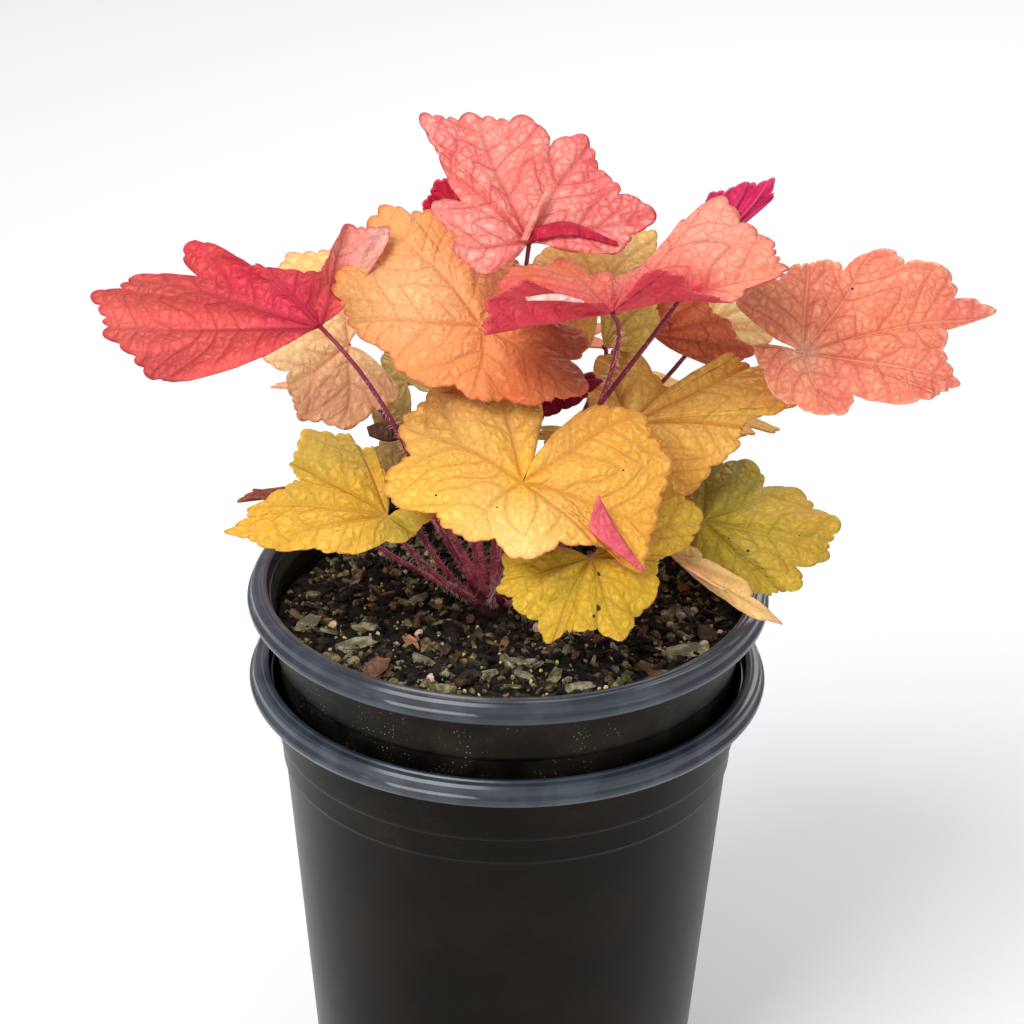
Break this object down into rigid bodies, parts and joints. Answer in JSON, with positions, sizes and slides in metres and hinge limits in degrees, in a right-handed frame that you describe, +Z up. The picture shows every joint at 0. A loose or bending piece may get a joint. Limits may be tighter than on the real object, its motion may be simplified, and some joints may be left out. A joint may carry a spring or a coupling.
{
  "type": "potted heuchera",
  "caption": "Heuchera plant with lobed coral, orange and yellow leaves on thin stalks, growing in a round black nursery pot nested in a second one.",
  "frame": {"origin": "centre of the outer pot's base, on the ground", "axes": "+Z up; the side that the picture shows faces -Y; +X is to its right"},
  "size_m": [0.2773, 0.1963, 0.3382],
  "materials": {
    "pot_plastic": "black, satin rim, dusty wall",
    "soil": "rough dark bark compost",
    "crown_wood": "rough",
    "stalk": "burgundy, hairy",
    "leaf_dry_tip": "soft leaf, veined",
    "leaf_far_left_peach": "soft leaf, veined",
    "leaf_far_low_left_olive": "soft leaf, veined",
    "leaf_far_low_right_olive": "soft leaf, veined",
    "leaf_far_middle_orange": "soft leaf, veined",
    "leaf_far_right_yellow": "soft leaf, veined",
    "leaf_front_gold": "soft leaf, veined",
    "leaf_front_mustard": "soft leaf, veined",
    "leaf_high_crimson": "soft leaf, veined",
    "leaf_inner_ochre": "soft leaf, veined",
    "leaf_left_coral": "soft leaf, veined",
    "leaf_left_olive": "soft leaf, veined",
    "leaf_low_dull_olive": "soft leaf, veined",
    "leaf_middle_orange": "soft leaf, veined",
    "leaf_rear_cream": "soft leaf, veined",
    "leaf_rear_left_peach": "soft leaf, veined",
    "leaf_rear_pale_green": "soft leaf, veined",
    "leaf_rear_top_yellow": "soft leaf, veined",
    "leaf_rear_young_crimson": "soft leaf, veined",
    "leaf_rear_young_magenta": "soft leaf, veined",
    "leaf_right_amber": "soft leaf, veined",
    "leaf_right_olive": "soft leaf, veined",
    "leaf_right_pale_edge": "soft leaf, veined",
    "leaf_right_salmon": "soft leaf, veined",
    "leaf_top_salmon": "soft leaf, veined",
    "leaf_under_red": "soft leaf, veined",
    "leaf_young_burgundy": "soft leaf, veined"
  },
  "bodies": {
    "root": {"crown": "crown_wood", "inner_pot": "pot_plastic", "leaf_dry_tip": "leaf_dry_tip", "leaf_far_left_peach": "leaf_far_left_peach", "leaf_far_low_left_olive": "leaf_far_low_left_olive", "leaf_far_low_right_olive": "leaf_far_low_right_olive", "leaf_far_middle_orange": "leaf_far_middle_orange", "leaf_far_right_yellow": "leaf_far_right_yellow", "leaf_front_gold": "leaf_front_gold", "leaf_front_mustard": "leaf_front_mustard", "leaf_high_crimson": "leaf_high_crimson", "leaf_inner_ochre": "leaf_inner_ochre", "leaf_left_coral": "leaf_left_coral", "leaf_left_olive": "leaf_left_olive", "leaf_low_dull_olive": "leaf_low_dull_olive", "leaf_middle_orange": "leaf_middle_orange", "leaf_rear_cream": "leaf_rear_cream", "leaf_rear_left_peach": "leaf_rear_left_peach", "leaf_rear_pale_green": "leaf_rear_pale_green", "leaf_rear_top_yellow": "leaf_rear_top_yellow", "leaf_rear_young_crimson": "leaf_rear_young_crimson", "leaf_rear_young_magenta": "leaf_rear_young_magenta", "leaf_right_amber": "leaf_right_amber", "leaf_right_olive": "leaf_right_olive", "leaf_right_pale_edge": "leaf_right_pale_edge", "leaf_right_salmon": "leaf_right_salmon", "leaf_top_salmon": "leaf_top_salmon", "leaf_under_red": "leaf_under_red", "leaf_young_burgundy": "leaf_young_burgundy", "outer_pot": "pot_plastic", "soil": "soil", "stalk_dry_tip": "stalk", "stalk_far_left_peach": "stalk", "stalk_far_low_left_olive": "stalk", "stalk_far_low_right_olive": "stalk", "stalk_far_middle_orange": "stalk", "stalk_far_right_yellow": "stalk", "stalk_front_gold": "stalk", "stalk_front_mustard": "stalk", "stalk_high_crimson": "stalk", "stalk_inner_ochre": "stalk", "stalk_left_coral": "stalk", "stalk_left_olive": "stalk", "stalk_low_dull_olive": "stalk", "stalk_middle_orange": "stalk", "stalk_rear_cream": "stalk", "stalk_rear_left_peach": "stalk", "stalk_rear_pale_green": "stalk", "stalk_rear_top_yellow": "stalk", "stalk_rear_young_crimson": "stalk", "stalk_rear_young_magenta": "stalk", "stalk_right_amber": "stalk", "stalk_right_olive": "stalk", "stalk_right_pale_edge": "stalk", "stalk_right_salmon": "stalk", "stalk_top_salmon": "stalk", "stalk_under_red": "stalk", "stalk_young_burgundy": "stalk"}
  },
  "joints": []
}
